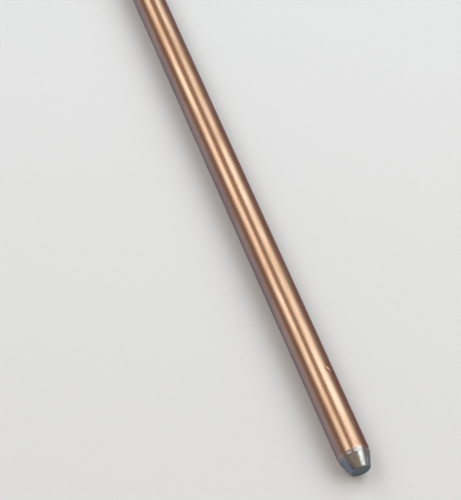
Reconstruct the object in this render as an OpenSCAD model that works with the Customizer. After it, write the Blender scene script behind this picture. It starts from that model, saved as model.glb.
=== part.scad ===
// Earth rod: a round steel core with a bonded copper skin, driven into the ground point first.
// It lies along X: the driven end's face is centred on the origin, and the point is at +X.

/* [Rod] */
// Length over all, from the driven end's face to the flat on the point
rod_length = 1200; // [300:50:3000]
// Diameter over the copper
rod_d = 14.2; // [12.7:0.1:25.4]
// Thickness of the copper skin
copper_t = 0.254; // [0.15:0.002:0.5]

/* [Point] */
// Angle of the bevelled point from side to side
point_angle = 40; // [30:1:90]
// Diameter of the flat on the point, out to the sharp corner before its edge is rounded
point_flat_d = 8.8; // [5:0.1:10]
// Radius of the edge between the flat and the bevel
point_edge_r = 1.3; // [0.1:0.1:2]
// Radius of the rim where the bevel runs into the shank
point_rim_r = 5; // [2:0.5:8]

/* [Driven end] */
// Width of the 45 degree chamfer round the struck face
end_chamfer = 1; // [0.3:0.1:2]

/* [Hidden] */
$fn = 72;

// Radii and lengths that follow from the sizes above
rod_r = rod_d / 2;
core_r = rod_r - copper_t;
flat_r = point_flat_d / 2;
bevel_half_angle = point_angle / 2;
bevel_length = (rod_r - flat_r) / tan(bevel_half_angle);
rim_x = rod_length - bevel_length;

// How far the profile turns at each rounded corner of the point
rim_turn = bevel_half_angle;
edge_turn = 90 - bevel_half_angle;

// Direction of a profile line at an angle from the rod's axis, as [outward, along]
function heading(angle) = [sin(angle), cos(angle)];

// What a round of radius r takes off a convex corner of the profile. The profile arrives at the angle
// arrive and leaves at the angle leave, both measured from the rod's axis towards the outside.
module corner_waste(corner, r, arrive, leave) {
    reach = r * tan((arrive - leave) / 2);
    start = corner - reach * heading(arrive);
    finish = corner + reach * heading(leave);
    inward = [-cos(arrive), sin(arrive)];
    centre = start + r * inward;
    beyond = corner + reach * (heading(arrive) - heading(leave));
    difference() {
        polygon([start, beyond, finish, centre]);
        translate(centre) circle(r);
    }
}

// Half section of the whole rod, copper and steel together: X is the radius, Y runs along the rod
module rod_section() {
    difference() {
        polygon([
            [0, 0],
            [rod_r - end_chamfer, 0],
            [rod_r, end_chamfer],
            [rod_r, rim_x],
            [flat_r, rod_length],
            [0, rod_length]
        ]);
        corner_waste([rod_r, rim_x], point_rim_r, 0, -rim_turn);
        corner_waste([flat_r, rod_length], point_edge_r, -rim_turn, -rim_turn - edge_turn);
    }
}

// Half section of the core's bar before its ends are shaped
module core_section() {
    square([core_r, rod_length]);
}

// Turns a half section about the rod's axis and lays it along X
module turned() {
    rotate([0, 90, 0]) rotate_extrude() children();
}

// The bar inside the copper. It is bare at the bevelled point and on the struck face.
module steel_core() {
    color("slategray") turned() intersection() {
        rod_section();
        core_section();
    }
}

// The copper round the shank. It thins out over the point's rim and at the chamfer, where the core shows.
module copper_skin() {
    color("peru") turned() difference() {
        rod_section();
        core_section();
    }
}

steel_core();
copper_skin();
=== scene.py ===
"""Earth rod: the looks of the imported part, a copper skin on a steel core with a bevelled bare point.

The rod lies along X on a pale floor, with its point at +X. All lengths are in metres.
"""

import logging
import math
import random
from collections.abc import Mapping, Sequence
from dataclasses import dataclass, field
from enum import Enum
from typing import Any, NamedTuple

import bpy
import numpy as np
from mathutils import Matrix, Vector


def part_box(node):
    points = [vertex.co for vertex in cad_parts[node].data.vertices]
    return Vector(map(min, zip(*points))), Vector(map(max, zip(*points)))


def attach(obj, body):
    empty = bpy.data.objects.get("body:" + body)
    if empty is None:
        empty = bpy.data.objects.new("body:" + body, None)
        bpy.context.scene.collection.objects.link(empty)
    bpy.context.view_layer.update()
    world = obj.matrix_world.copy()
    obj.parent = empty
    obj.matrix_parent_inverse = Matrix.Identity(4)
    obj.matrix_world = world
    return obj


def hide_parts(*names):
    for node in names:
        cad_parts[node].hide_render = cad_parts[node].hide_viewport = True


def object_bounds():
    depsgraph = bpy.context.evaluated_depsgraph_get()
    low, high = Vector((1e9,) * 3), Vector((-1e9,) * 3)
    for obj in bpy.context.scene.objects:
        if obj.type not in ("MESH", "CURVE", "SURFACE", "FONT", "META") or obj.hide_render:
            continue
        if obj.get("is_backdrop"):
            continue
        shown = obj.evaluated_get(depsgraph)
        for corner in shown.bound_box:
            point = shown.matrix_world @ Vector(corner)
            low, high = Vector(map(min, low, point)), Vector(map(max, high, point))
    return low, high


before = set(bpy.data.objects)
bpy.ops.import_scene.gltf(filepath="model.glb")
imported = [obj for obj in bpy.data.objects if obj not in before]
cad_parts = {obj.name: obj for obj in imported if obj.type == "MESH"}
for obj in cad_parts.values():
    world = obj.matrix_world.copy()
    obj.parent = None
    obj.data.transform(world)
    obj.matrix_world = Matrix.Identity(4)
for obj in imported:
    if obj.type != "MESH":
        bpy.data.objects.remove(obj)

LOG = logging.getLogger("earth_rod")
MM = 0.001
BODY = "root"

# The sRGB curve has a straight foot for dark values and a power above it.
SRGB_FULL = 255
SRGB_FOOT = 0.04045
SRGB_FOOT_SLOPE = 12.92
SRGB_OFFSET = 0.055
SRGB_POWER = 2.4

# A colour mix node keeps its colours in these sockets.
MIX_A = 6
MIX_B = 7
MIX_RESULT = 2

Colour = tuple[float, float, float, float]


def linear(hex_colour: str) -> Colour:
    """Turns an sRGB hex colour into linear light.

    Args:
        hex_colour: A colour such as "#C08040".

    Returns:
        Red, green, blue and an alpha of 1.
    """
    channels = [value / SRGB_FULL for value in bytes.fromhex(hex_colour.removeprefix("#"))]
    red, green, blue = (
        c / SRGB_FOOT_SLOPE if c <= SRGB_FOOT else ((c + SRGB_OFFSET) / (1 + SRGB_OFFSET)) ** SRGB_POWER
        for c in channels
    )
    return (red, green, blue, 1.0)


def add_node(
    tree: bpy.types.NodeTree,
    kind: str,
    values: Mapping[str | int, Any] | None = None,
    links: Mapping[str | int, bpy.types.NodeSocket] | None = None,
    **settings: Any,
) -> bpy.types.Node:
    """Adds one node with its settings, its sockets' values and its links.

    Args:
        tree: The node tree that gets the node.
        kind: Blender's name for the kind of node.
        values: Input sockets and the value that each one holds.
        links: Input sockets and the output socket that each one is fed from.
        **settings: The node's own properties, such as operation.

    Returns:
        The new node.
    """
    node = tree.nodes.new(kind)
    for name, value in settings.items():
        setattr(node, name, value)
    for socket, value in (values or {}).items():
        node.inputs[socket].default_value = value
    for socket, source in (links or {}).items():
        tree.links.new(source, node.inputs[socket])
    return node


def new_material(name: str) -> tuple[bpy.types.Material, bpy.types.NodeTree]:
    """Starts a material with an empty node tree.

    Args:
        name: The material's name.

    Returns:
        The material and its tree.
    """
    material = bpy.data.materials.new(name)
    material.use_nodes = True
    material.node_tree.nodes.clear()
    return material, material.node_tree


@dataclass(frozen=True)
class PaintedSideReflection:
    """A painted reflection down one side of the rod, with a wandering edge.

    The side is an angle from the top towards +Y, in degrees. The painted colour stands in for the
    surroundings that the metal reflects on that side. It grows from nothing to its full strength between two
    distances from the axis, both measured towards that side.
    """

    side: float
    colour: str
    start: float
    full: float
    strength: float
    wander: float = 0.8 * MM

    def over(
        self,
        tree: bpy.types.NodeTree,
        place: bpy.types.NodeSocket,
        patches: bpy.types.NodeSocket,
        colour: bpy.types.NodeSocket,
    ) -> bpy.types.NodeSocket:
        """Lays the painted reflection over a colour.

        Args:
            tree: The material's tree.
            place: Where the surface is, in the part's frame.
            patches: A noise that makes the painted reflection's edge wander.
            colour: The colour under the painted reflection.

        Returns:
            The colour with the painted reflection laid over it.
        """
        lean = math.radians(self.side)
        towards = add_node(
            tree, "ShaderNodeVectorMath", {1: (0.0, math.sin(lean), math.cos(lean))}, {0: place},
            operation="DOT_PRODUCT",
        )
        wandering = add_node(
            tree, "ShaderNodeMapRange", {"To Min": -self.wander, "To Max": self.wander}, {"Value": patches},
        )
        edge = add_node(
            tree, "ShaderNodeMath", links={0: towards.outputs["Value"], 1: wandering.outputs[0]},
            operation="ADD",
        )
        share = add_node(
            tree, "ShaderNodeMapRange",
            {"From Min": self.start, "From Max": self.full, "To Max": self.strength},
            {"Value": edge.outputs[0]}, interpolation_type="SMOOTHSTEP",
        )
        # The painted reflection's colour, mixed over the metal's own.
        painted_over = add_node(
            tree, "ShaderNodeMix", {MIX_B: linear(self.colour)},
            {"Factor": share.outputs[0], MIX_A: colour}, data_type="RGBA",
        )
        return painted_over.outputs[MIX_RESULT]


@dataclass(frozen=True)
class DrawnGrain:
    """A pattern that the die has drawn out along the rod: a noise with long, narrow cells."""

    length: float
    width: float
    detail: float
    roughness: float

    def pattern(self, tree: bpy.types.NodeTree, place: bpy.types.NodeSocket) -> bpy.types.NodeSocket:
        """Adds the pattern to a material.

        Args:
            tree: The material's tree.
            place: Where the surface is, in the part's frame.

        Returns:
            The pattern's value, which runs from 0 to 1.
        """
        cells = add_node(
            tree, "ShaderNodeMapping", {"Scale": (1 / self.length, 1 / self.width, 1 / self.width)},
            {"Vector": place},
        )
        noise = add_node(
            tree, "ShaderNodeTexNoise",
            {"Scale": 1.0, "Detail": self.detail, "Roughness": self.roughness},
            {"Vector": cells.outputs[0]},
        )
        return noise.outputs["Fac"]


@dataclass(frozen=True)
class DrawnCopper:
    """Copper skin, drawn bright through a die and lightly tarnished.

    Drawing leaves a smooth satin metal with very fine lines along the rod, so lamps show in it as long soft
    streaks. Air and handling turn it a browner tan in faint patches that run lengthwise. Down each side a
    painted
    reflection is laid over it: a bluish grey on the -Y side, and a dark red-brown painted shade on the +Y
    side, which stand in for the surroundings those sides reflect. At the point's rim the tool has burnished
    it pale.
    """

    bright: str = "#BB957D"
    tarnished: str = "#A67B60"
    burnished: str = "#B8ACA5"
    # Painted reflections: a bluish grey down the -Y side and a dark red-brown painted shade down the +Y
    # side.
    sides: tuple[PaintedSideReflection, ...] = (
        PaintedSideReflection(-92, "#7E7A8A", start=4.5 * MM, full=6.2 * MM, strength=0.6),
        PaintedSideReflection(95, "#6A3226", start=2.8 * MM, full=4.8 * MM, strength=0.8),
    )
    # The tarnish takes some of the shine where the surface is seen at a low angle.
    low_angle_tint: str = "#E4E4EA"
    patches: DrawnGrain = DrawnGrain(length=30 * MM, width=5 * MM, detail=4.0, roughness=0.55)
    # The patches' values between which the copper goes from bright to tarnished, and from smooth to dull.
    tarnish_from: float = 0.35
    tarnish_to: float = 0.7
    dull_from: float = 0.3
    dull_to: float = 0.7
    roughness_low: float = 0.23
    roughness_high: float = 0.32
    # A die's lines lie about 0.05 mm apart; they are drawn coarser here, so that they show at all.
    lines: DrawnGrain = DrawnGrain(length=36 * MM, width=0.45 * MM, detail=2.0, roughness=0.6)
    line_height: float = 0.0015 * MM

    def material(self, thin_x: float, edge_x: float) -> bpy.types.Material:
        """Builds the material.

        Args:
            thin_x: Where the copper starts to thin towards its edge at the point, along X.
            edge_x: Where that edge lies on average, along X.

        Returns:
            The copper's material.
        """
        material, tree = new_material("copper_drawn_tarnished_painted_reflections")
        place = add_node(tree, "ShaderNodeTexCoord").outputs["Object"]
        patches = self.patches.pattern(tree, place)
        skin = self.skin(tree, place, patches, thin_x, edge_x)
        # Lays the painted reflections down both sides over the copper's own colour.
        for reflection_paint in self.sides:
            skin = reflection_paint.over(tree, place, patches, skin)
        roughness = add_node(
            tree, "ShaderNodeMapRange",
            {
                "From Min": self.dull_from,
                "From Max": self.dull_to,
                "To Min": self.roughness_low,
                "To Max": self.roughness_high,
            },
            {"Value": patches},
        )
        bump = add_node(
            tree, "ShaderNodeBump", {"Strength": 1.0, "Distance": self.line_height},
            {"Height": self.lines.pattern(tree, place)},
        )
        shader = add_node(
            tree, "ShaderNodeBsdfPrincipled",
            {"Metallic": 1.0, "Specular Tint": linear(self.low_angle_tint)},
            {"Base Color": skin, "Roughness": roughness.outputs[0], "Normal": bump.outputs[0]},
        )
        add_node(tree, "ShaderNodeOutputMaterial", links={"Surface": shader.outputs[0]})
        return material

    def skin(
        self,
        tree: bpy.types.NodeTree,
        place: bpy.types.NodeSocket,
        patches: bpy.types.NodeSocket,
        thin_x: float,
        edge_x: float,
    ) -> bpy.types.NodeSocket:
        """Builds the copper's colour before the painted reflections are laid down its sides.

        Args:
            tree: The material's tree.
            place: Where the surface is, in the part's frame.
            patches: The noise that the tarnish follows.
            thin_x: Where the copper starts to thin, along X.
            edge_x: Where its edge lies, along X.

        Returns:
            The colour.
        """
        tarnish = add_node(
            tree, "ShaderNodeMapRange", {"From Min": self.tarnish_from, "From Max": self.tarnish_to},
            {"Value": patches},
        )
        mottled = add_node(
            tree, "ShaderNodeMix", {MIX_A: linear(self.bright), MIX_B: linear(self.tarnished)},
            {"Factor": tarnish.outputs[0]}, data_type="RGBA",
        )
        along = add_node(tree, "ShaderNodeSeparateXYZ", links={"Vector": place}).outputs["X"]
        near_edge = add_node(
            tree, "ShaderNodeMapRange", {"From Min": thin_x, "From Max": edge_x}, {"Value": along},
            interpolation_type="SMOOTHSTEP",
        )
        skin = add_node(
            tree, "ShaderNodeMix", {MIX_B: linear(self.burnished)},
            {"Factor": near_edge.outputs[0], MIX_A: mottled.outputs[MIX_RESULT]}, data_type="RGBA",
        )
        return skin.outputs[MIX_RESULT]


@dataclass(frozen=True)
class TurnedSteel:
    """Mild steel of the core, turned to a bevel and left bare.

    The tool leaves fine rings round the point, which pull a lamp's reflection out along it. Bare steel dulls
    to a faintly mottled grey within days. The point's flanks are painted a dull blue, and one side next to
    the
    copper is painted darker: painted reflections of the bluish and the dark surroundings there.
    """

    clean: str = "#B0AEAC"
    dulled: str = "#999A9D"
    # Painted reflections: a dull blue over the point's flanks and a dark grey down its +Y side.
    painted_flank_reflections: tuple[PaintedSideReflection, ...] = (
        PaintedSideReflection(5, "#545A75", start=4.6 * MM, full=2.6 * MM, strength=0.75),
        PaintedSideReflection(90, "#484B52", start=2.8 * MM, full=4.8 * MM, strength=0.7),
    )
    # The flat is painted a dark slate: partly its duller cut steel, as the stock was cut off there and not
    # turned, and partly a painted reflection of the darker surroundings in front of the point.
    cut_face_and_painted_reflection: str = "#415056"
    face_depth: float = 0.4 * MM
    # The tool drags a trace of copper onto the steel next to the cut.
    copper_smear: str = "#A88A7A"
    smear_length: float = 0.7 * MM
    smear_strength: float = 0.4
    patch_size: float = 2.2 * MM
    patch_detail: float = 5.0
    patch_roughness: float = 0.6
    # The patches' values between which the steel goes from clean to dulled.
    dull_from: float = 0.35
    dull_to: float = 0.65
    roughness_low: float = 0.2
    roughness_high: float = 0.32

    def material(self, copper_x: float, face_x: float) -> bpy.types.Material:
        """Builds the material.

        Args:
            copper_x: Where the bevel cuts through the copper, along X.
            face_x: Where the point's flat is, along X.

        Returns:
            The steel's material.
        """
        material, tree = new_material("mild_steel_turned_bare")
        place = add_node(tree, "ShaderNodeTexCoord").outputs["Object"]
        along = add_node(tree, "ShaderNodeSeparateXYZ", links={"Vector": place}).outputs["X"]
        patches = add_node(
            tree, "ShaderNodeTexNoise",
            {"Scale": 1 / self.patch_size, "Detail": self.patch_detail, "Roughness": self.patch_roughness},
            {"Vector": place},
        ).outputs["Fac"]
        dulling = add_node(
            tree, "ShaderNodeMapRange", {"From Min": self.dull_from, "From Max": self.dull_to},
            {"Value": patches},
        ).outputs[0]
        bare = add_node(
            tree, "ShaderNodeMix", {MIX_A: linear(self.clean), MIX_B: linear(self.dulled)},
            {"Factor": dulling}, data_type="RGBA",
        ).outputs[MIX_RESULT]
        point = bare
        # Lays the painted reflections over the bare steel.
        for reflection_paint in self.painted_flank_reflections:
            point = reflection_paint.over(tree, place, patches, point)
        point = self.smear_and_painted_face(tree, along, point, copper_x, face_x)
        # Only the point gets the painted reflections, the smear and the flat's colour: the struck face at
        # the other end is plain.
        at_point = add_node(
            tree, "ShaderNodeMath", {1: face_x / 2}, {0: along}, operation="GREATER_THAN",
        )
        colour = add_node(
            tree, "ShaderNodeMix", None,
            {"Factor": at_point.outputs[0], MIX_A: bare, MIX_B: point}, data_type="RGBA",
        )
        roughness = add_node(
            tree, "ShaderNodeMapRange", {"To Min": self.roughness_low, "To Max": self.roughness_high},
            {"Value": dulling},
        )
        shader = add_node(
            tree, "ShaderNodeBsdfPrincipled", {"Metallic": 1.0},
            {"Base Color": colour.outputs[MIX_RESULT], "Roughness": roughness.outputs[0]},
        )
        add_node(tree, "ShaderNodeOutputMaterial", links={"Surface": shader.outputs[0]})
        return material

    def smear_and_painted_face(
        self,
        tree: bpy.types.NodeTree,
        along: bpy.types.NodeSocket,
        bevel: bpy.types.NodeSocket,
        copper_x: float,
        face_x: float,
    ) -> bpy.types.NodeSocket:
        """Adds to the bevel's colour its two ends: the smear, and the flat's dark slate, partly cut steel
        and partly painted reflection.

        Args:
            tree: The material's tree.
            along: How far along the rod the surface is.
            bevel: The bevel's colour.
            copper_x: Where the bevel cuts through the copper, along X.
            face_x: Where the point's flat is, along X.

        Returns:
            The point's colour.
        """
        smear = add_node(
            tree, "ShaderNodeMapRange",
            {
                "From Min": copper_x,
                "From Max": copper_x + self.smear_length,
                "To Min": self.smear_strength,
                "To Max": 0.0,
            },
            {"Value": along}, interpolation_type="SMOOTHSTEP",
        )
        smeared = add_node(
            tree, "ShaderNodeMix", {MIX_B: linear(self.copper_smear)},
            {"Factor": smear.outputs[0], MIX_A: bevel}, data_type="RGBA",
        )
        on_face = add_node(
            tree, "ShaderNodeMapRange", {"From Min": face_x - self.face_depth, "From Max": face_x},
            {"Value": along}, interpolation_type="SMOOTHSTEP",
        )
        # The flat's dark slate: partly cut steel, partly a painted reflection.
        point = add_node(
            tree, "ShaderNodeMix", {MIX_B: linear(self.cut_face_and_painted_reflection)},
            {"Factor": on_face.outputs[0], MIX_A: smeared.outputs[MIX_RESULT]}, data_type="RGBA",
        )
        return point.outputs[MIX_RESULT]


@dataclass(frozen=True)
class MattPaper:
    """White background paper: matt, with a faint fibre that keeps it from looking like nothing at all.

    The lamps light it only round the rod. Further out it has a glow of its own, so that it stays as pale
    there.
    """

    middle: tuple[float, float, float]
    sheet: str = "#E7E3E3"
    fibre: str = "#E3DFDF"
    fibre_size: float = 1.5 * MM
    fibre_detail: float = 3.0
    roughness: float = 0.5
    far_glow: str = "#A2AEB3"
    lit_reach: float = 0.75
    glow_reach: float = 2.5

    def material(self) -> bpy.types.Material:
        """Builds the material.

        Returns:
            The paper's material.
        """
        material, tree = new_material("paper_matt_white")
        place = add_node(tree, "ShaderNodeTexCoord").outputs["Object"]
        fibres = add_node(
            tree, "ShaderNodeTexNoise", {"Scale": 1 / self.fibre_size, "Detail": self.fibre_detail},
            {"Vector": place},
        )
        colour = add_node(
            tree, "ShaderNodeMix", {MIX_A: linear(self.sheet), MIX_B: linear(self.fibre)},
            {"Factor": fibres.outputs["Fac"]}, data_type="RGBA",
        )
        paper = add_node(
            tree, "ShaderNodeBsdfDiffuse", {"Roughness": self.roughness},
            {"Color": colour.outputs[MIX_RESULT]},
        )
        shader = add_node(
            tree, "ShaderNodeAddShader", links={0: paper.outputs[0], 1: self.glow(tree, place)},
        )
        add_node(tree, "ShaderNodeOutputMaterial", links={"Surface": shader.outputs[0]})
        return material

    def glow(self, tree: bpy.types.NodeTree, place: bpy.types.NodeSocket) -> bpy.types.NodeSocket:
        """Builds the far paper's glow, which the camera and the metal see, but which lights nothing.

        Args:
            tree: The material's tree.
            place: Where the paper is.

        Returns:
            The glow's shader.
        """
        away = add_node(
            tree, "ShaderNodeVectorMath", {1: self.middle}, {0: place}, operation="DISTANCE",
        )
        share = add_node(
            tree, "ShaderNodeMapRange", {"From Min": self.lit_reach, "From Max": self.glow_reach},
            {"Value": away.outputs["Value"]}, interpolation_type="SMOOTHSTEP",
        )
        rays = add_node(tree, "ShaderNodeLightPath").outputs
        seen = rays["Is Camera Ray"]
        for kind in ("Is Glossy Ray", "Is Transmission Ray"):
            either = add_node(tree, "ShaderNodeMath", links={0: seen, 1: rays[kind]}, operation="MAXIMUM")
            seen = either.outputs[0]
        strength = add_node(
            tree, "ShaderNodeMath", links={0: share.outputs[0], 1: seen}, operation="MULTIPLY",
        )
        glow = add_node(
            tree, "ShaderNodeEmission", {"Color": linear(self.far_glow)}, {"Strength": strength.outputs[0]},
        )
        return glow.outputs[0]


@dataclass(frozen=True)
class SoftboxCloth:
    """White nylon stretched over a lamp: a soft even glow, which fades towards the cloth's outer edge.

    The fade starts and ends at these angles from above, in degrees either way, as seen from the rod. Where
    it ends, the cloth is about as bright as the walls behind it.
    """

    fade_start: float
    fade_end: float
    colour: str
    strength: float
    edge_strength: float = 0.27

    def material(self, name: str) -> bpy.types.Material:
        """Builds the material.

        Args:
            name: The softbox's name.

        Returns:
            The glowing material.
        """
        material, tree = new_material(f"nylon_white_{name}")
        place = add_node(tree, "ShaderNodeTexCoord").outputs["Object"]
        parts = add_node(tree, "ShaderNodeSeparateXYZ", links={"Vector": place}).outputs
        lean = add_node(tree, "ShaderNodeMath", links={0: parts["Y"], 1: parts["Z"]}, operation="ARCTAN2")
        outward = add_node(tree, "ShaderNodeMath", links={0: lean.outputs[0]}, operation="ABSOLUTE")
        strength = add_node(
            tree, "ShaderNodeMapRange",
            {
                "From Min": math.radians(self.fade_start),
                "From Max": math.radians(self.fade_end),
                "To Min": self.strength,
                "To Max": self.edge_strength,
            },
            {"Value": outward.outputs[0]}, interpolation_type="SMOOTHSTEP",
        )
        glow = add_node(
            tree, "ShaderNodeEmission", {"Color": linear(self.colour)}, {"Strength": strength.outputs[0]},
        )
        add_node(tree, "ShaderNodeOutputMaterial", links={"Surface": glow.outputs[0]})
        return material


@dataclass(frozen=True)
class RodProfile:
    """The rod's half section, as in the solids: radius against distance along X."""

    radius: float
    core_radius: float
    length: float
    bevel_half_angle: float = math.radians(20)
    flat_radius: float = 4.4 * MM
    edge_round: float = 1.3 * MM
    rim_round: float = 5.0 * MM
    chamfer: float = 1.0 * MM

    @classmethod
    def from_frame(cls) -> "RodProfile":
        """Takes the rod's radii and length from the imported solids.

        Returns:
            The profile.
        """
        skin_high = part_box("copper_skin")[1]
        core_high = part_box("steel_core")[1]
        return cls(radius=skin_high.z, core_radius=core_high.z, length=core_high.x)

    @property
    def wall(self) -> float:
        """Thickness of the copper."""
        return self.radius - self.core_radius

    @property
    def chamfer_cut(self) -> float:
        """Where the chamfer at the driven end cuts through the copper to the core."""
        return self.chamfer - self.wall

    @property
    def face_reach(self) -> float:
        """Radius of the struck face inside its chamfer."""
        return self.radius - self.chamfer

    @property
    def rim_x(self) -> float:
        """Where the lines of the shank and the bevel meet, before the rim is rounded."""
        return self.length - (self.radius - self.flat_radius) / math.tan(self.bevel_half_angle)

    @property
    def rim_start(self) -> float:
        """Where the rim's round leaves the shank."""
        return self.rim_x - self.rim_round * math.tan(self.bevel_half_angle / 2)

    @property
    def rim_end(self) -> float:
        """Where the rim's round runs into the bevel."""
        return self.rim_start + self.rim_round * math.sin(self.bevel_half_angle)

    @property
    def edge_turn(self) -> float:
        """How far the profile turns from the bevel to the flat."""
        return math.pi / 2 - self.bevel_half_angle

    @property
    def edge_start(self) -> float:
        """Where the bevel runs into the flat's rounded edge."""
        return self.length - self.edge_round * (1 - math.sin(self.bevel_half_angle))

    @property
    def flat_reach(self) -> float:
        """Radius of what is left of the flat inside its rounded edge."""
        return self.flat_radius - self.edge_round * math.tan(self.edge_turn / 2)

    @property
    def copper_end(self) -> float:
        """Where the rim's round cuts through the copper to the core."""
        return self.rim_start + math.sqrt(self.rim_round ** 2 - (self.rim_round - self.wall) ** 2)

    def surface_radius(self, x: float) -> float:
        """Radius of the rod's outside, between its two end faces.

        Args:
            x: Distance along the rod.

        Returns:
            The radius there.
        """
        if x < self.chamfer:
            return self.face_reach + x
        if x <= self.rim_start:
            return self.radius
        if x <= self.rim_end:
            along = x - self.rim_start
            return self.radius - self.rim_round + math.sqrt(self.rim_round ** 2 - along ** 2)
        return self.radius - (x - self.rim_x) * math.tan(self.bevel_half_angle)


class Spot(NamedTuple):
    """A place on the shank: its distance from the point's flat, and its degrees from the top towards +Y."""

    from_flat: float
    angle: float

    def unrolled(self, radius: float) -> np.ndarray:
        """The place along and across the shank's surface, rolled out flat."""
        return np.array([self.from_flat, math.radians(self.angle) * radius])


@dataclass(frozen=True)
class Nick:
    """A short gouge in the copper, with the metal pushed up along its +Y side.

    The start is the end that is nearer the flat. The crest of the metal pushed up lies to the side of the
    gouge, and both fade out some way from it: these two distances are given in half widths.
    """

    start: Spot
    finish: Spot
    depth: float
    half_width: float
    lip: float
    lip_aside: float = 1.7
    room: float = 3.0

    def reach(self) -> tuple[float, float]:
        """Nearest and furthest distance from the flat that the gouge touches."""
        room = self.room * self.half_width
        return self.start.from_flat - room, self.finish.from_flat + room

    def height(self, from_flat: np.ndarray, around: np.ndarray, radius: float) -> np.ndarray:
        """How far the gouge moves the surface outwards.

        Args:
            from_flat: Each point's distance from the flat.
            around: Each point's angle from the top, in radians.
            radius: The shank's radius.

        Returns:
            The move outwards at each point, which is below zero in the gouge.
        """
        first = self.start.unrolled(radius)
        line = self.finish.unrolled(radius) - first
        length = np.linalg.norm(line)
        line = line / length
        offset_x = from_flat - first[0]
        offset_y = around * radius - first[1]
        along = offset_x * line[0] + offset_y * line[1]
        across = (offset_y * line[0] - offset_x * line[1]) / self.half_width
        beyond = np.maximum(np.maximum(-along, along - length), 0.0) / self.half_width
        groove = np.exp(-(across ** 2))
        pushed_up = np.exp(-((across - self.lip_aside) ** 2))
        return np.exp(-(beyond ** 2)) * (self.lip * pushed_up - self.depth * groove)


@dataclass
class Lathe:
    """Builds a closed mesh from rings of points round the rod's axis."""

    segments: int
    points: list[np.ndarray] = field(default_factory=list)
    sharp_angle: float = math.radians(28)

    @property
    def angles(self) -> np.ndarray:
        """Each segment's angle from the top towards +Y."""
        return np.linspace(0, 2 * math.pi, self.segments, endpoint=False)

    def ring(self, x: float | np.ndarray, radius: float | np.ndarray) -> None:
        """Adds a ring.

        Args:
            x: Distance along the rod, one value or one for each segment.
            radius: Distance from the axis, one value or one for each segment.
        """
        angles = self.angles
        along = np.broadcast_to(x, angles.shape)
        self.points.append(np.stack([along, radius * np.sin(angles), radius * np.cos(angles)], axis=1))

    def mesh(self, name: str, capped: bool) -> bpy.types.Mesh:
        """Joins the rings with faces.

        Args:
            name: The mesh's name.
            capped: True to close the first and last ring with a fan to the axis, and False to join the last
                ring to the first.

        Returns:
            The closed mesh, with its faces pointing outwards.
        """
        count = self.segments
        rings = len(self.points)
        vertices = [tuple(p) for ring in self.points for p in ring]
        faces: list[tuple[int, ...]] = []
        for i in range(rings - 1 if capped else rings):
            here = i * count
            there = (i + 1) % rings * count
            for j in range(count):
                k = (j + 1) % count
                faces.append((here + j, there + j, there + k, here + k))
        if capped:
            last = (rings - 1) * count
            first_centre = len(vertices)
            last_centre = first_centre + 1
            vertices.append((float(self.points[0][0, 0]), 0.0, 0.0))
            vertices.append((float(self.points[-1][0, 0]), 0.0, 0.0))
            for j in range(count):
                k = (j + 1) % count
                faces.append((first_centre, j, k))
                faces.append((last_centre, last + k, last + j))
        mesh = bpy.data.meshes.new(name)
        mesh.from_pydata(vertices, [], faces)
        mesh.validate()
        mesh.shade_smooth()
        mesh.set_sharp_from_angle(angle=self.sharp_angle)
        return mesh


def add_piece(
    name: str, mesh: bpy.types.Mesh, material: bpy.types.Material, node: str,
) -> bpy.types.Object:
    """Puts a piece in the scene in place of its plain solid.

    Args:
        name: The piece's name.
        mesh: Its mesh, in the part's frame.
        material: Its finish.
        node: The solid that it stands for.

    Returns:
        The piece's object.
    """
    mesh.materials.append(material)
    piece = bpy.data.objects.new(name, mesh)
    bpy.context.scene.collection.objects.link(piece)
    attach(piece, BODY)
    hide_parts(node)
    LOG.info("%s: %d vertices, stands for %s", name, len(mesh.vertices), node)
    return piece


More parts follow.
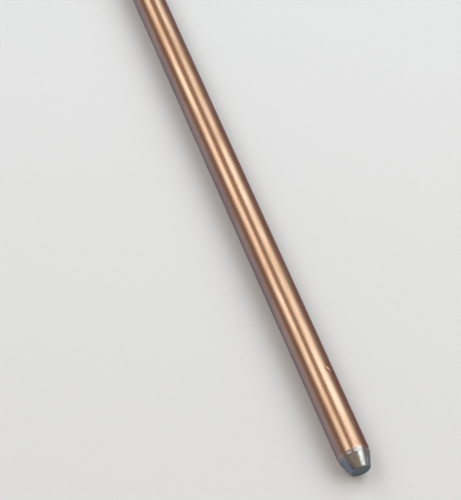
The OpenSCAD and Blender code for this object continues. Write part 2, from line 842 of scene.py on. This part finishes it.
@dataclass
class CopperSkin:
    """The copper round the shank, with its torn edge at the point and the knocks that it has had."""

    profile: RodProfile
    finish: DrawnCopper = DrawnCopper()
    segments: int = 256
    plain_step: float = 12 * MM
    fine_step: float = 0.15 * MM
    edge_rings: int = 14
    inner_rings: int = 10
    # The bevel cuts the copper to a feather edge, which flakes away and leaves it ragged.
    flake_least: float = 0.2 * MM
    flake_most: float = 1.3 * MM
    # The ragged line is a sum of waves round the rod, from two to a few dozen, each of a random weight.
    flake_waves: range = range(2, 30)
    flake_weights: tuple[float, float] = (0.3, 1.0)
    seed: int = 257
    # What is left of the edge is pressed down onto the steel, from this far before the rim.
    press_lead: float = 0.8 * MM
    # The copper's inside and its edge reach a little into the steel, so that no gap shows.
    tuck: float = 0.02 * MM
    nicks: tuple[Nick, ...] = (
        Nick(
            Spot(43.9 * MM, 41.0), Spot(46.0 * MM, 29.5),
            depth=0.18 * MM, half_width=0.65 * MM, lip=0.12 * MM,
        ),
        Nick(
            Spot(38.5 * MM, -5.0), Spot(38.7 * MM, -8.0),
            depth=0.11 * MM, half_width=0.45 * MM, lip=0.02 * MM,
        ),
    )

    @property
    def press_start(self) -> float:
        """Where the copper starts to thin towards its edge."""
        return self.profile.rim_start - self.press_lead

    @property
    def mean_edge(self) -> float:
        """Where the ragged edge lies on average."""
        return self.profile.copper_end - (self.flake_least + self.flake_most) / 2

    def stations(self) -> list[float]:
        """Distances along the shank at which the mesh has a ring, closer together at the knocks.

        Returns:
            The distances, in order.
        """
        start = self.profile.chamfer
        end = self.press_start
        count = math.ceil((end - start) / self.plain_step)
        places = set(np.linspace(start, end, count + 1))
        for nick in self.nicks:
            near, far = nick.reach()
            fine_count = math.ceil((far - near) / self.fine_step)
            places.update(self.profile.length - np.linspace(near, far, fine_count + 1))
        return sorted(places)

    def flakes(self, angles: np.ndarray) -> np.ndarray:
        """How far the copper's edge has flaked back from the clean cut.

        Args:
            angles: Angles round the rod.

        Returns:
            The distance back at each angle.
        """
        draw = random.Random(self.seed)
        total = np.zeros_like(angles)
        for waves in self.flake_waves:
            phase = draw.uniform(0, 2 * math.pi)
            total += draw.uniform(*self.flake_weights) / math.sqrt(waves) * np.cos(waves * angles + phase)
        share = (total - total.min()) / (total.max() - total.min())
        return self.flake_least + (self.flake_most - self.flake_least) * share

    def build(self) -> bpy.types.Object:
        """Builds the skin and dresses it.

        Returns:
            The skin's object.
        """
        lathe = Lathe(self.segments)
        self.add_shank(lathe)
        self.add_edge_and_inside(lathe)
        mesh = lathe.mesh("copper_skin_drawn", capped=False)
        material = self.finish.material(self.press_start, self.mean_edge)
        return add_piece("copper_skin_drawn", mesh, material, "copper_skin")

    def add_shank(self, lathe: Lathe) -> None:
        """Adds the rings of the chamfer and the shank, with the nicks.

        Args:
            lathe: What the rings are added to.
        """
        profile = self.profile
        angles = lathe.angles
        signed = np.where(angles > math.pi, angles - 2 * math.pi, angles)
        lathe.ring(profile.chamfer_cut, profile.core_radius)
        for x in self.stations():
            from_flat = np.full_like(angles, profile.length - x)
            moved = sum(nick.height(from_flat, signed, profile.radius) for nick in self.nicks)
            lathe.ring(x, profile.radius + moved)

    def add_edge_and_inside(self, lathe: Lathe) -> None:
        """Adds the rings that thin the copper to its ragged edge, and those of its inside on the way back.

        Args:
            lathe: What the rings are added to.
        """
        profile = self.profile
        core = profile.core_radius
        edge = profile.copper_end - self.flakes(lathe.angles)
        surface = np.vectorize(profile.surface_radius)
        for i in range(1, self.edge_rings + 1):
            share = i / self.edge_rings
            x = self.press_start + share * (edge - self.press_start)
            left = 1 - share ** 2
            lathe.ring(x, core + left * (surface(x) - core))
        lathe.ring(edge, core - self.tuck)
        for x in np.linspace(profile.rim_start, profile.chamfer_cut, self.inner_rings)[:-1]:
            lathe.ring(float(x), core - self.tuck)


@dataclass
class SteelCore:
    """The steel bar inside the copper, with its turned bevel, the flat on the point and the struck face."""

    profile: RodProfile
    finish: TurnedSteel = TurnedSteel()
    segments: int = 192
    # The tool's feed is about 0.15 mm a turn; its rings are drawn coarser here, so that they show at all.
    ring_pitch: float = 0.4 * MM
    ring_depth: float = 0.008 * MM
    # The share of that depth that the tool bites on a turn, and turns past the last whole one.
    bite: tuple[float, float] = (0.4, 1.0)
    spare_turns: int = 2
    rings_per_pitch: int = 6
    arc_rings: int = 8
    shank_rings: int = 12
    seed: int = 11

    def ripple(self, along: np.ndarray) -> np.ndarray:
        """Depth of the tool's rings at distances along a turned surface.

        Args:
            along: Distances from the start of the cut.

        Returns:
            The depth below the clean surface.
        """
        draw = random.Random(self.seed)
        turns = int(along.max() / self.ring_pitch) + self.spare_turns
        bites = np.array([draw.uniform(*self.bite) for _ in range(turns)])
        turn = along / self.ring_pitch
        return self.ring_depth * bites[turn.astype(int)] * np.sin(math.pi * (turn % 1)) ** 2

    def cuts(self, reach: float) -> np.ndarray:
        """Distances at which a turned surface has a ring, fine enough to show the tool's rings.

        Args:
            reach: How far the surface runs.

        Returns:
            The distances, from the first step to the full reach.
        """
        steps = int(reach / self.ring_pitch) * self.rings_per_pitch
        return np.linspace(reach / steps, reach, steps)

    def build(self) -> bpy.types.Object:
        """Builds the core and dresses it.

        Returns:
            The core's object.
        """
        profile = self.profile
        lathe = Lathe(self.segments)
        self.add_bar(lathe)
        self.add_point(lathe)
        mesh = lathe.mesh("steel_core_turned", capped=True)
        material = self.finish.material(profile.copper_end, profile.length)
        return add_piece("steel_core_turned", mesh, material, "steel_core")

    def add_bar(self, lathe: Lathe) -> None:
        """Adds the rings of the struck face, its chamfer and the bar inside the copper.

        Args:
            lathe: What the rings are added to.
        """
        profile = self.profile
        across = self.cuts(profile.face_reach)
        for radius, depth in zip(across, self.ripple(profile.face_reach - across)):
            lathe.ring(depth, radius)
        for x in np.linspace(profile.chamfer_cut, profile.copper_end, self.shank_rings):
            lathe.ring(float(x), profile.core_radius)

    def add_point(self, lathe: Lathe) -> None:
        """Adds the rings of the point: the rim's round, the bevel, the flat's rounded edge and the flat.

        Args:
            lathe: What the rings are added to.
        """
        profile = self.profile
        for x in np.linspace(profile.copper_end, profile.rim_end, self.arc_rings)[1:]:
            lathe.ring(float(x), profile.surface_radius(float(x)))
        along = self.cuts(profile.edge_start - profile.rim_end)
        for step, depth in zip(along, self.ripple(along)):
            x = profile.rim_end + float(step)
            lathe.ring(x, profile.surface_radius(x) - depth)
        for turn in np.linspace(0, profile.edge_turn, self.arc_rings)[1:]:
            angle = profile.bevel_half_angle + float(turn)
            lathe.ring(
                profile.length - profile.edge_round * (1 - math.sin(angle)),
                profile.flat_reach + profile.edge_round * math.cos(angle),
            )
        across = np.flip(self.cuts(profile.flat_reach))[1:]
        for radius, depth in zip(across, self.ripple(profile.flat_reach - across)):
            lathe.ring(profile.length - depth, radius)


class Shown(Enum):
    """Whether the camera sees a stage sheet itself, or only its light and its reflection."""

    WHOLE = "whole"
    LIGHT_ONLY = "light only"


def stage_sheet(
    name: str, corners: Sequence[tuple[float, float, float]], material: bpy.types.Material, shown: Shown,
) -> bpy.types.Object:
    """Puts a four-cornered sheet on the stage: the floor or the front of a softbox.

    Args:
        name: The sheet's name.
        corners: Its corners, in order round it.
        material: Its material.
        shown: Whether the camera sees it.

    Returns:
        The sheet's object.
    """
    mesh = bpy.data.meshes.new(name)
    mesh.from_pydata(list(corners), [], [tuple(range(len(corners)))])
    mesh.materials.append(material)
    sheet = bpy.data.objects.new(name, mesh)
    bpy.context.scene.collection.objects.link(sheet)
    sheet.visible_camera = shown is Shown.WHOLE
    sheet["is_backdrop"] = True
    return sheet


@dataclass(frozen=True)
class Softbox:
    """A long softbox above the rod.

    Its edges are angles seen from the rod, from above towards +Y, in degrees.
    """

    name: str
    far_x: float
    far_edges: tuple[float, float]
    near_x: float
    near_edges: tuple[float, float]
    cloth: SoftboxCloth
    distance: float = 1.6

    def corner(self, x: float, edge: float) -> tuple[float, float, float]:
        """Where the softbox's edge is at a place along the rod."""
        lean = math.radians(edge)
        return (x, self.distance * math.sin(lean), self.distance * math.cos(lean))

    def hang(self) -> bpy.types.Object:
        """Hangs the softbox.

        Returns:
            The softbox's object.
        """
        corners = (
            self.corner(self.far_x, self.far_edges[0]),
            self.corner(self.near_x, self.near_edges[0]),
            self.corner(self.near_x, self.near_edges[1]),
            self.corner(self.far_x, self.far_edges[1]),
        )
        LOG.info("%s hangs from %.0f to %.0f degrees", self.name, *self.near_edges)
        return stage_sheet(self.name, corners, self.cloth.material(self.name), Shown.LIGHT_ONLY)


@dataclass
class Studio:
    """A pale floor, three long softboxes above the rod, and a room with dim walls round it.

    The cove and the walls end where a line of sight from the rod climbs by these shares of its length.
    """

    floor_z: float
    middle_x: float
    floor_size: float = 80.0
    cove: str = "#CDD0D1"
    cove_top: tuple[float, float] = (0.09, 0.16)
    walls: str = "#9E8B84"
    wall_top: tuple[float, float] = (0.6, 0.76)
    ceiling: str = "#B8A791"
    softboxes: tuple[Softbox, ...] = (
        Softbox(
            "softbox_left", far_x=-1.6, far_edges=(-57, -8), near_x=1.1, near_edges=(-57, -19.5),
            cloth=SoftboxCloth(fade_start=32, fade_end=57, colour="#EDFBFF", strength=2.9),
        ),
        Softbox(
            "softbox_right", far_x=-0.4, far_edges=(30, 80), near_x=1.2, near_edges=(2, 80),
            cloth=SoftboxCloth(fade_start=38, fade_end=80, colour="#E4F7FF", strength=3.2),
        ),
        Softbox(
            "softbox_front", far_x=1.25, far_edges=(25, 62), near_x=2.4, near_edges=(25, 62),
            cloth=SoftboxCloth(fade_start=58, fade_end=62, colour="#F4F7F2", strength=2.75),
        ),
    )

    def build(self) -> None:
        """Builds the floor, the lamps and the room's light."""
        reach = self.floor_size / 2
        corners = [
            (self.middle_x + x * reach, y * reach, self.floor_z)
            for x, y in ((-1, -1), (1, -1), (1, 1), (-1, 1))
        ]
        paper = MattPaper(middle=(self.middle_x, 0.0, self.floor_z))
        stage_sheet("floor", corners, paper.material(), Shown.WHOLE)
        for softbox in self.softboxes:
            softbox.hang()
        self.room()

    def room(self) -> None:
        """Lights the scene all round: dim walls that rise from a pale cove, with a lighter ceiling."""
        world = bpy.data.worlds.new("studio_room")
        bpy.context.scene.world = world
        world.use_nodes = True
        tree = world.node_tree
        tree.nodes.clear()
        direction = add_node(tree, "ShaderNodeTexCoord").outputs["Generated"]
        height = add_node(tree, "ShaderNodeSeparateXYZ", links={"Vector": direction}).outputs["Z"]
        over_cove, overhead = (
            add_node(
                tree, "ShaderNodeMapRange", {"From Min": start, "From Max": end}, {"Value": height},
                interpolation_type="SMOOTHSTEP",
            )
            for start, end in (self.cove_top, self.wall_top)
        )
        sides = add_node(
            tree, "ShaderNodeMix", {MIX_A: linear(self.cove), MIX_B: linear(self.walls)},
            {"Factor": over_cove.outputs[0]}, data_type="RGBA",
        )
        colour = add_node(
            tree, "ShaderNodeMix", {MIX_B: linear(self.ceiling)},
            {"Factor": overhead.outputs[0], MIX_A: sides.outputs[MIX_RESULT]}, data_type="RGBA",
        )
        background = add_node(tree, "ShaderNodeBackground", links={"Color": colour.outputs[MIX_RESULT]})
        add_node(tree, "ShaderNodeOutputWorld", links={"Surface": background.outputs[0]})


@dataclass
class PhotoCamera:
    """The photograph's camera, placed by where the middle of the point's flat shows in the picture."""

    target: Vector
    azimuth: float = 69.26
    elevation: float = 59.46
    distance: float = 0.7855
    picture: tuple[int, int] = (461, 500)
    target_pixel: tuple[float, float] = (361.1, 471.7)
    focal_pixels: float = 1900.0
    nearest: float = 10 * MM

    def place(self) -> bpy.types.Object:
        """Makes the camera and sets it as the scene's.

        Returns:
            The camera's object.
        """
        turn = math.radians(self.azimuth)
        lift = math.radians(self.elevation)
        right = Vector((math.cos(turn), math.sin(turn), 0))
        back = Vector((math.sin(turn) * math.cos(lift), -math.cos(turn) * math.cos(lift), math.sin(lift)))
        up = back.cross(right)
        across = (self.target_pixel[0] - self.picture[0] / 2) / self.focal_pixels
        down = (self.target_pixel[1] - self.picture[1] / 2) / self.focal_pixels
        sight = (right * across - up * down - back).normalized()
        data = bpy.data.cameras.new("photo_camera")
        data.lens = self.focal_pixels / max(self.picture) * data.sensor_width
        data.clip_start = self.nearest
        camera = bpy.data.objects.new("photo_camera", data)
        axes = Matrix((right, up, back)).transposed().to_4x4()
        camera.matrix_world = Matrix.Translation(self.target - sight * self.distance) @ axes
        bpy.context.scene.collection.objects.link(camera)
        bpy.context.scene.camera = camera
        LOG.info("camera at azimuth %.1f, elevation %.1f", self.azimuth, self.elevation)
        return camera


def main() -> None:
    """Builds the rod, the stage and the camera."""
    logging.basicConfig(level=logging.INFO, format="%(name)s: %(message)s")
    cad_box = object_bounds()
    profile = RodProfile.from_frame()
    SteelCore(profile).build()
    CopperSkin(profile).build()
    Studio(floor_z=cad_box[0].z, middle_x=profile.length / 2).build()
    PhotoCamera(target=Vector((profile.length, 0, 0))).place()
    bpy.context.scene.view_settings.view_transform = "Standard"


if __name__ == "__main__":
    main()
